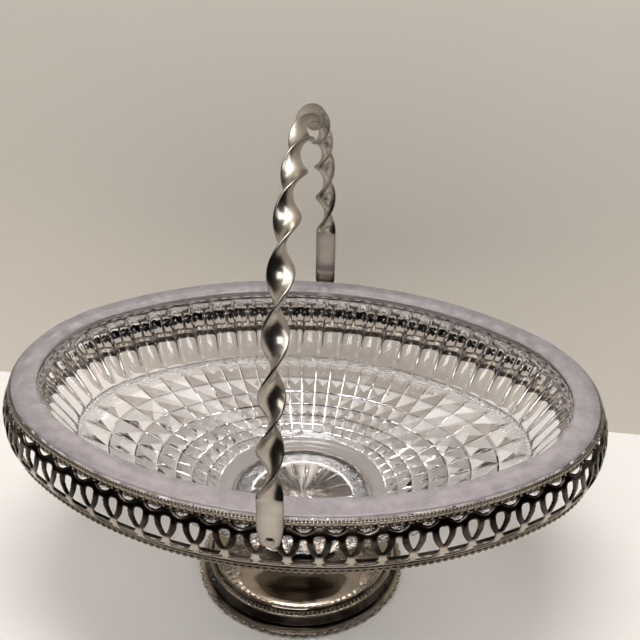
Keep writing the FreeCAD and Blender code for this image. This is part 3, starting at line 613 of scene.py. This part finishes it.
def turned_piece(name, node, outline, columns=192):
    """A closed outline of (radius, height) corners turned round the upright axis: each
    corner becomes a circle of its own radius at its own height."""
    outline = np.asarray(outline, float)
    turn = np.arange(columns) / columns * 2 * np.pi
    points = np.stack([outline[:, :1] * np.cos(turn), outline[:, :1] * np.sin(turn),
                       np.repeat(outline[:, 1:], columns, axis=1)], -1)
    faces = grid_faces(len(outline), columns, close_rows=True)
    return new_piece(name, points.reshape(-1, 3), faces.tolist(), node, "basket")


stem_out = eased([(48.4, 10.2), (47.6, 11.6), (45.6, 12.7), (40.5, 13.9), (34.0, 15.4),
                  (27.5, 18.0), (22.6, 22.5), (20.2, 27.5), (19.9, 32.0), (21.5, 36.4),
                  (25.5, 39.4), (27.0, 40.3)])
stem_in = stem_out[::-1] - [1.1, 0.3]
stem = turned_piece("turned_stem", "foot_stem", np.concatenate([stem_out, stem_in]))
base_out = eased([(52.1, 0.0), (54.6, 0.0), (55.1, 0.6), (55.1, 1.9), (54.4, 2.3),
                  (53.4, 2.9), (52.2, 3.6), (51.4, 5.2), (51.0, 7.6), (50.7, 9.4),
                  (50.3, 10.15), (48.0, 10.2), (46.4, 10.2)])
base_in = base_out[::-1] - [1.0, -0.1]
base_in = np.column_stack([base_in[:, 0], np.maximum(base_in[:, 1] - 1.0, 0.1)])
foot_ring = turned_piece("turned_base", "foot_base", np.concatenate([base_out, base_in]))
# The foot's channel between these heights is marked for a painted dark reflection: its colour
# is darkened as if it mirrored the dark room.
HOLLOW_FOOT, HOLLOW_TOP = 2.6, 9.8
spots = np.empty(3 * len(foot_ring.data.vertices), np.float32)
foot_ring.data.vertices.foreach_get("co", spots)
heights = spots[2::3].astype(float) / MM
hollow = np.clip((heights - HOLLOW_FOOT) / 0.8, 0, 1) \
    * np.clip((HOLLOW_TOP - heights) / 0.6, 0, 1)
foot_ring.data.attributes.new("dull", "FLOAT", "POINT").data.foreach_set("value", hollow)
cup = turned_piece("glass_cup", "foot_cup", [
    (1.0, 40.3), (35.9, 40.3), (36.5, 40.8), (36.5, 46.2), (36.2, 46.5), (35.5, 46.5),
    (35.3, 46.3), (35.3, 41.5), (1.0, 41.5)])


# %% Beads of the foot
def circle_axes(count, radius, height):
    """Places on a circle and, at each, the directions outwards, along and up."""
    turn = np.arange(count) / count * 2 * np.pi
    zero = np.zeros(count)
    out = np.stack([np.cos(turn), np.sin(turn), zero], -1)
    along = np.stack([-np.sin(turn), np.cos(turn), zero], -1)
    up = np.stack([zero, zero, zero + 1], -1)
    return out * radius + [0, 0, height], np.stack([out, along, up], -2)


step_beads = bead_piece("step_beads", "foot_step_bead", *circle_axes(132, 49.2, 10.7),
                        (0.85, 1.0, 0.95))
edge_beads = bead_piece("edge_beads", "foot_edge_bead", *circle_axes(62, 54.9, 1.2),
                        (1.15, 2.4, 1.1))
print("points of the stem's profile:", len(stem_out))

# %% [markdown]
# ## The handle
#
# The handle is one flat strap. Its ends were left flat and pierced for the rivets; the
# rest was gripped and twisted fourteen half turns, all to the right, and then bent over
# a former into half an ellipse. A twisted curve with a bevel comes close, but its corners
# slip where the arch bends. So the strap's section is turned at each place, square to the
# arch.

# %% Middle line of the handle
HALF_SPAN, SPRING, RISE = 107.2, 134.9, 116.2
STRAP_FOOT = 111.6
OVERHANG, FRONT_FLAT, BACK_FLAT = 3.3, 15.0, 36.0
END_STEPS = np.array([0, 0.5, 1.1, 3, 6, 9])
angle = np.linspace(0, np.pi, 1201)
arch = np.stack([-HALF_SPAN * np.cos(angle), SPRING + RISE * np.sin(angle)], -1)
line = np.concatenate([[[-HALF_SPAN, STRAP_FOOT]], arch, [[HALF_SPAN, STRAP_FOOT]]])
run = np.concatenate([[0], np.cumsum(np.linalg.norm(np.diff(line, axis=0), axis=1))])
LENGTH = run[-1]


def on_line(along):
    """The place at a distance along the middle line, half an ellipse on two legs."""
    return np.stack([np.interp(along, run, line[:, 0]),
                     np.interp(along, run, line[:, 1])], -1)


along = np.unique(np.concatenate([END_STEPS, np.linspace(12, LENGTH - 12, 460),
                                  LENGTH - END_STEPS[::-1]]))
ahead = on_line(along + 0.6) - on_line(along - 0.6)
ahead /= np.linalg.norm(ahead, axis=1, keepdims=True)
print("strap length:", round(LENGTH, 1))

# %% Twist of the handle
# Seen in the photograph, the twist starts late and is tighter near the front, so the
# share of the turns already made is a line with one bend, at EVEN_FROM.
HALF_TURNS, LATE, EVEN_FROM = 14, 6.5, 75.0
HALF_WIDTH, END_HALF_WIDTH, TIP_HALF_WIDTH, HALF_THICKNESS = 5.57, 4.1, 3.0, 0.95
TWIST_START, TWIST_STOP = OVERHANG + FRONT_FLAT, LENGTH - OVERHANG - BACK_FLAT
share = np.interp(along, [TWIST_START + LATE, EVEN_FROM, TWIST_STOP],
                  [0, (EVEN_FROM - TWIST_START) / (TWIST_STOP - TWIST_START), 1])
turn = HALF_TURNS * np.pi * share
from_end = np.minimum(along, LENGTH - along)
half_width = np.interp(from_end, [0, 1.1, 9], [TIP_HALF_WIDTH, END_HALF_WIDTH, HALF_WIDTH])
wide = np.stack([np.cos(turn), ahead[:, 1] * np.sin(turn), -ahead[:, 0] * np.sin(turn)], -1)
thick = np.stack([-np.sin(turn), ahead[:, 1] * np.cos(turn), -ahead[:, 0] * np.cos(turn)],
                 -1)
corner = np.array([(-1, 0.3), (-0.97, 0.62), (-0.88, 0.85), (-0.5, 0.97), (0, 1),
                   (0.5, 0.97), (0.88, 0.85), (0.97, 0.62), (1, 0.3)])
section = np.concatenate([corner, corner[::-1] * [1, -1]])
middle = np.column_stack([np.zeros(len(along)), on_line(along)])
points = (middle[:, None] + wide[:, None] * (section[None, :, :1] * half_width[:, None, None])
          + thick[:, None] * section[None, :, 1:] * HALF_THICKNESS)
faces = grid_faces(len(along), len(section)).tolist()
first_end = np.arange(len(section))
faces += [first_end[::-1].tolist(), (first_end + (len(along) - 1) * len(section)).tolist()]
strap = new_piece("twisted_strap", points.reshape(-1, 3), faces, "handle_strap", "handle")
print("strap faces:", len(faces))

# %% [markdown]
# ## The rivets
#
# A rivet with a low domed head holds each end of the strap and lets it swing. The shank is
# hidden in the strap and in the plate behind it. Each is a small turned shape laid on its
# side. The two are one mesh, because they stand for one node.

# %% Rivets
PIVOT, STRAP_FACE, RIVET_SIDES = 114.9, 108.3, 32
dome = np.array([(0.05, 0.68), (0.7, 0.62), (1.3, 0.42), (1.8, 0.12), (2.05, -0.1),
                 (2.05, -0.3), (1.4, -0.3), (1.4, -3.0), (0.05, -3.0)])
turn = np.arange(RIVET_SIDES) / RIVET_SIDES * 2 * np.pi
faces = grid_faces(len(dome), RIVET_SIDES)
both = [np.stack([dome[:, :1] * np.cos(turn) * -way,
                  way * (STRAP_FACE + np.repeat(dome[:, 1:], RIVET_SIDES, axis=1)),
                  PIVOT + dome[:, :1] * np.sin(turn)], -1).reshape(-1, 3)
        for way in (-1, 1)]
rivets = new_piece("pivot_rivets", np.concatenate(both),
                   np.concatenate([faces, faces + len(both[0])]).tolist(), "rivets", "basket")
print("rivets at y:", -STRAP_FACE, STRAP_FACE)

# %% [markdown]
# ## Materials
#
# The metal is silver plate over brass: a warm grey mirror, rubbed soft by polishing and
# darker where tarnish stays in its corners. The gallery and the foot's channel also carry
# a painted dark reflection in their colour. The glass is clear with a faint violet tint, and
# its flat rim is matt. A picture could be wrapped on each, but a pattern worked out from the
# piece's own place has no seams. Each pattern's size is given in millimetres, and a
# texture's scale is how many of them fit in a metre.

# %% Material helpers
def colour(text):
    """A colour written as six hex digits, turned into the linear values that nodes use."""
    parts = [int(text[k:k + 2], 16) / 255 for k in (1, 3, 5)]
    linear = [p / 12.92 if p <= 0.04045 else ((p + 0.055) / 1.055) ** 2.4 for p in parts]
    return (*linear, 1.0)


def per_metre(millimetres):
    """How many features of this size fit in a metre."""
    return 1 / (millimetres * MM)


def adder(tree):
    """The helper that adds a node to a tree, with its settings, links and ramp stops. A
    setting goes to the socket of that name or number, or else to the node itself."""
    def add(kind, settings=None, links=None, stops=()):
        node = tree.nodes.new(kind)
        for key, setting in (settings or {}).items():
            if isinstance(key, int) or key in node.inputs:
                node.inputs[key].default_value = setting
            else:
                setattr(node, key, setting)
        for key, source in (links or {}).items():
            tree.links.new(source, node.inputs[key])
        if stops:
            elements = node.color_ramp.elements
            while len(elements) < len(stops):
                elements.new(0.5)
            for element, (place, shade) in zip(elements, stops):
                element.position, element.color = place, colour(shade)
        return node
    return add


def new_material(name):
    """A material with an empty tree of nodes, and the helper that fills it."""
    material = bpy.data.materials.new(name)
    material.use_nodes = True
    material.node_tree.nodes.clear()
    return material, adder(material.node_tree)


# %% Silver plate
# Tarnish drifts over the plate in clouds of about two centimetres. Real polishing marks
# are far finer than a tenth of a millimetre and would not show, so they are drawn at 1 mm.
CLOUD_MM, POLISH_MM = 22.2222, 1.11111


def plated(name, thin, full, smoothest, roughest, dull=None):
    """Silver plate: "thin" where the brass shines through and "full" where the silver is
    whole, between two roughnesses, and where asked with a painted dark reflection in its
    colour. Its colour goes from thin to full with the clouds, and is darker in corners that
    point inwards."""
    material, add = new_material(name)
    place = add("ShaderNodeTexCoord").outputs["Object"]
    cloud = add("ShaderNodeTexNoise",
                {"Scale": per_metre(CLOUD_MM), "Detail": 5.0, "Roughness": 0.6},
                {"Vector": place}).outputs["Fac"]
    fine = add("ShaderNodeTexNoise", {"Scale": per_metre(POLISH_MM), "Detail": 4.0},
               {"Vector": place})
    shade = add("ShaderNodeValToRGB", links={"Fac": cloud},
                stops=[(0.3, thin), (0.7, full)]).outputs["Color"]
    bend = add("ShaderNodeNewGeometry").outputs["Pointiness"]
    worn = add("ShaderNodeValToRGB", links={"Fac": bend},
               stops=[(0.44, "#4a4038"), (0.5, "#ffffff")])
    shade = add("ShaderNodeMix", {"data_type": "RGBA", "blend_type": "MULTIPLY", 0: 0.8},
                {6: shade, 7: worn.outputs["Color"]}).outputs[2]
    # Painted dark reflection: where the mesh marks it, the colour is darkened as if the metal
    # mirrored the dark room.
    if dull:
        where = add("ShaderNodeAttribute", {"attribute_name": "dull"}).outputs["Fac"]
        painted_dark_patches = add("ShaderNodeValToRGB", links={"Fac": cloud},
                      stops=[(0.45, dull), (1.0, thin)])
        shade = add("ShaderNodeMix", {"data_type": "RGBA"},
                    {0: where, 6: shade, 7: painted_dark_patches.outputs["Color"]}).outputs[2]
    rough = add("ShaderNodeMapRange", {"To Min": smoothest, "To Max": roughest},
                {"Value": cloud})
    bump = add("ShaderNodeBump", {"Strength": 0.12, "Distance": 0.0002},
               {"Height": fine.outputs["Fac"]})
    skin = add("ShaderNodeBsdfPrincipled", {"Metallic": 1.0},
               {"Base Color": shade, "Roughness": rough.outputs["Result"],
                "Normal": bump.outputs["Normal"]})
    add("ShaderNodeOutputMaterial", links={"Surface": skin.outputs["BSDF"]})
    return material


# Drawn rails shine evenly, the spun foot was burnished and mirrors the room, and the strap
# is rubbed by hands and so the brightest. The gallery and the foot's channel carry a painted
# dark reflection: their colour is darkened as if they mirrored the dark front of the room.
rail_silver = plated("drawn silver plate", "#847a6d", "#b0a79a", 0.14, 0.26)
foot_silver = plated("spun and burnished silver plate", "#7d7366", "#a89e90", 0.03, 0.1,
                     "#1d1814")
# The bottom rail and its beads get a darker copy of the rail's plate.
low_silver = plated("darker drawn silver plate", "#5d544a", "#857b6e", 0.18, 0.3)
strap_silver = plated("hand-rubbed silver plate", "#a39b8f", "#cdc6bb", 0.2, 0.3)
gallery_silver = plated("stamped silver plate with painted dark reflections", "#9c9284", "#c2b9ac",
                        0.16, 0.3, "#211b17")

# %% Pressed glass
# Pressed glass is smooth from the mould but never quite flat, which gives slow waves of
# 17 mm. A stipple with a grain just under a millimetre roughens the ring round the star
# and the line of small beads. Only the ring is tinted, to match how sandy it looks.
WAVE_MM, STIPPLE_MM = 16.6667, 0.833333
RING_STOPS = (0.27, 0.285, 0.35, 0.36)
pressed, add = new_material("clear pressed glass")
place = add("ShaderNodeTexCoord").outputs["Object"]
parts = add("ShaderNodeSeparateXYZ", links={"Vector": place})
flat = add("ShaderNodeCombineXYZ",
           links={"X": parts.outputs["X"], "Y": parts.outputs["Y"]})
out = add("ShaderNodeVectorMath", {"operation": "LENGTH"}, {0: flat.outputs["Vector"]})
tenths = add("ShaderNodeMath", {"operation": "MULTIPLY", 1: 10.0},
             {0: out.outputs["Value"]})
ring = add("ShaderNodeValToRGB", links={"Fac": tenths.outputs["Value"]},
           stops=list(zip(RING_STOPS, ("#000000", "#ffffff", "#ffffff", "#000000"))))
low = add("ShaderNodeMath", {"operation": "LESS_THAN", 1: 0.05}, {0: parts.outputs["Z"]})
ring = add("ShaderNodeMath", {"operation": "MULTIPLY"},
           {0: ring.outputs["Color"], 1: low.outputs["Value"]})
bead_line = add("ShaderNodeMath", {"operation": "COMPARE", 1: 0.0857, 2: 0.0016},
                {0: parts.outputs["Z"]})
rough_places = add("ShaderNodeMath", {"operation": "MAXIMUM"},
                   {0: ring.outputs["Value"], 1: bead_line.outputs["Value"]})
waves = add("ShaderNodeTexNoise", {"Scale": per_metre(WAVE_MM), "Detail": 3.0},
            {"Vector": place})
grain = add("ShaderNodeTexVoronoi", {"Scale": per_metre(STIPPLE_MM)}, {"Vector": place})
soft = add("ShaderNodeBump", {"Strength": 0.1, "Distance": 0.0005},
           {"Height": waves.outputs["Fac"]})
stippled = add("ShaderNodeBump", {"Distance": 0.0006},
               {"Height": grain.outputs["Distance"],
                "Strength": rough_places.outputs["Value"], "Normal": soft.outputs["Normal"]})
sand = add("ShaderNodeValToRGB", links={"Fac": grain.outputs["Distance"]},
           stops=[(0.15, "#54412f"), (0.6, "#cdbfac")])
tint = add("ShaderNodeMix", {"data_type": "RGBA", 6: colour("#f4f1f2")},
           {0: ring.outputs["Value"], 7: sand.outputs["Color"]})
clear = add("ShaderNodeBsdfPrincipled",
            {"Roughness": 0.02, "IOR": 1.5, "Transmission Weight": 1.0},
            {"Normal": stippled.outputs["Normal"], "Base Color": tint.outputs[2]})

# %% Matt rim of the glass
# The rim is matt, as ground glass is: a pale grey that lets half the light through, in
# clouds of about 8 mm. The grit that would have made it matt is too fine to show.
FROST_MM, RIM_FROM = 8.33333, 0.1215
cloud = add("ShaderNodeTexNoise",
            {"Scale": per_metre(FROST_MM), "Detail": 6.0, "Roughness": 0.7},
            {"Vector": place})
frost = add("ShaderNodeValToRGB", links={"Fac": cloud.outputs["Fac"]},
            stops=[(0.3, "#978f94"), (0.7, "#bcb3b7")])
matt = add("ShaderNodeBsdfPrincipled",
           {"Roughness": 0.22, "IOR": 1.5, "Transmission Weight": 0.5},
           {"Base Color": frost.outputs["Color"]})
high = add("ShaderNodeMath", {"operation": "GREATER_THAN", 1: RIM_FROM},
           {0: parts.outputs["Z"]})
blend = add("ShaderNodeMixShader", links={0: high.outputs["Value"], 1: clear.outputs["BSDF"],
                                          2: matt.outputs["BSDF"]})
add("ShaderNodeOutputMaterial", links={"Surface": blend.outputs["Shader"]})

# %% Dress the pieces
for material, pieces in ((rail_silver, (top_rail, crest, side)),
                         (low_silver, (bottom_rail, bottom)),
                         (foot_silver, (stem, foot_ring, step_beads, edge_beads)),
                         (strap_silver, (strap, rivets, cup)),
                         (gallery_silver, (gallery,)), (pressed, (glass,))):
    for piece in pieces:
        piece.data.materials.append(material)
for node in ("handle_lug_front", "handle_lug_back"):
    for material_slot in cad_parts[node].material_slots:
        material_slot.material = strap_silver

# %% [markdown]
# ## Table, wall, light and camera
#
# The basket stands on a pale painted table in front of a pale wall. Both could be one
# curved sheet, but here a clear line parts them, so they are two flat quads. The wall
# stands behind the basket, and a camera that goes round behind it sees only the wall.
# The camera was fitted to the basket's outlines, and the quads are laid out from the
# places on the table that two pixels of that line look at.

# %% Paint
# The wall is made quite matt and the table a little less. Both have only slow changes of
# shade, over two thirds of a metre and over a quarter.
def painted(name, darker, lighter, patch_mm, roughness):
    """Paint that drifts slowly between two close shades."""
    material, add = new_material(name)
    place = add("ShaderNodeTexCoord").outputs["Object"]
    cloud = add("ShaderNodeTexNoise", {"Scale": per_metre(patch_mm), "Detail": 3.0},
                {"Vector": place})
    shade = add("ShaderNodeValToRGB", links={"Fac": cloud.outputs["Fac"]},
                stops=[(0.3, darker), (0.7, lighter)])
    paint = add("ShaderNodeBsdfPrincipled", {"Roughness": roughness},
                {"Base Color": shade.outputs["Color"]})
    add("ShaderNodeOutputMaterial", links={"Surface": paint.outputs["BSDF"]})
    return material


backdrop = painted("painted wall", "#e6ded2", "#ece5da", 666.667, 0.9)
table_top = painted("pale table top", "#dedad6", "#e3dfda", 250, 0.6)


def stage_quad(name, corners, material):
    """A flat piece of the setting."""
    mesh = bpy.data.meshes.new(name)
    mesh.from_pydata([tuple(corner) for corner in corners], [], [(0, 1, 2, 3)])
    thing = bpy.data.objects.new(name, mesh)
    bpy.context.scene.collection.objects.link(thing)
    mesh.materials.append(material)


# %% Camera
PICTURE, SENSOR = 640, 36.0
CAMERA = np.array([48.16, -403.59, 397.59])
YAW, PITCH_DOWN, ROLL, FOCAL = -0.099, 0.537, 0.018, 990.8
ahead = np.array([math.sin(YAW) * math.cos(PITCH_DOWN),
                  math.cos(YAW) * math.cos(PITCH_DOWN), -math.sin(PITCH_DOWN)])
level = np.cross(ahead, [0, 0, 1])
level /= np.linalg.norm(level)
over = np.cross(level, ahead)
right = math.cos(ROLL) * level + math.sin(ROLL) * over
above = -math.sin(ROLL) * level + math.cos(ROLL) * over
lens = bpy.data.cameras.new("camera")
lens.sensor_width = SENSOR
lens.lens = FOCAL / PICTURE * SENSOR
camera = bpy.data.objects.new("camera", lens)
bpy.context.scene.collection.objects.link(camera)
camera.matrix_world = Matrix([
    [right[k], above[k], -ahead[k], CAMERA[k] * MM] for k in range(3)] + [[0, 0, 0, 1]])
bpy.context.scene.camera = camera
print("focal length:", round(lens.lens, 1))

# %% Table and wall
LINE_LEFT, LINE_RIGHT = (0, 371), (640, 435)
BESIDE, IN_FRONT, WALL_TALL = 2.0, 0.6, 2.5
UNDER_FOOT = np.array([0, 0, -0.0001])


def on_table(pixel):
    """The place on the table that a pixel looks at: the camera's ray through it, followed
    down to height 0."""
    x, y = pixel
    ray = ahead + right * (x - PICTURE / 2) / FOCAL - above * (y - PICTURE / 2) / FOCAL
    return (CAMERA - ray * CAMERA[2] / ray[2]) * MM


near_left, near_right = on_table(LINE_LEFT), on_table(LINE_RIGHT)
line = (near_right - near_left) / np.linalg.norm(near_right - near_left)
square = np.array([-line[1], line[0], 0])
left_foot, right_foot = near_left - line * BESIDE, near_right + line * BESIDE
depth = float(square @ near_left) + IN_FRONT
tall = np.array([0, 0, WALL_TALL])
stage_quad("table_top", [left_foot - square * depth + UNDER_FOOT,
                         right_foot - square * depth + UNDER_FOOT,
                         right_foot + UNDER_FOOT, left_foot + UNDER_FOOT], table_top)
stage_quad("wall", [left_foot + UNDER_FOOT, right_foot + UNDER_FOOT, right_foot + tall,
                    left_foot + tall], backdrop)
print("table depth:", round(depth, 3))

# %% Light
# The room is brighter above and behind than in front and below, so metal and glass mirror
# a change from dark to light. Three soft lamps add the light from over the table, from the
# room and on the wall.
BRIGHT_WAY = (-0.25, 0.5, 0.83)
world = bpy.data.worlds.new("room")
bpy.context.scene.world = world
world.use_nodes = True
add = adder(world.node_tree)
way = add("ShaderNodeTexCoord").outputs["Generated"]
lean = add("ShaderNodeVectorMath", {"operation": "DOT_PRODUCT", 1: BRIGHT_WAY}, {0: way})
glow = add("ShaderNodeValToRGB", links={"Fac": lean.outputs["Value"]},
           stops=[(0.12, "#1d1916"), (0.48, "#8a847d"), (0.8, "#ece8e3")])
background = world.node_tree.nodes["Background"].inputs
world.node_tree.links.new(glow.outputs["Color"], background["Color"])
background["Strength"].default_value = 0.55


def area_lamp(name, place, aim, size, power):
    """A soft lamp that looks from its place at a point."""
    lamp = bpy.data.lights.new(name, "AREA")
    lamp.shape = "RECTANGLE"
    lamp.size, lamp.size_y = size
    lamp.energy = power
    thing = bpy.data.objects.new(name, lamp)
    bpy.context.scene.collection.objects.link(thing)
    thing.location = place
    away = Vector(place) - Vector(aim)
    thing.rotation_euler = away.to_track_quat("Z", "Y").to_euler()


area_lamp("overhead", (0.0, 0.05, 1.25), (0, 0, 0.05), (0.7, 0.55), 11.5)
area_lamp("room light", (-0.15, -0.9, 1.5), (0, 0.3, 0.2), (0.9, 0.7), 7.0)
area_lamp("wall light", (0.0, -0.05, 1.0), (0.05, 0.4, 0.55), (1.6, 0.3), 5.4)
bpy.context.scene.view_settings.view_transform = "Standard"
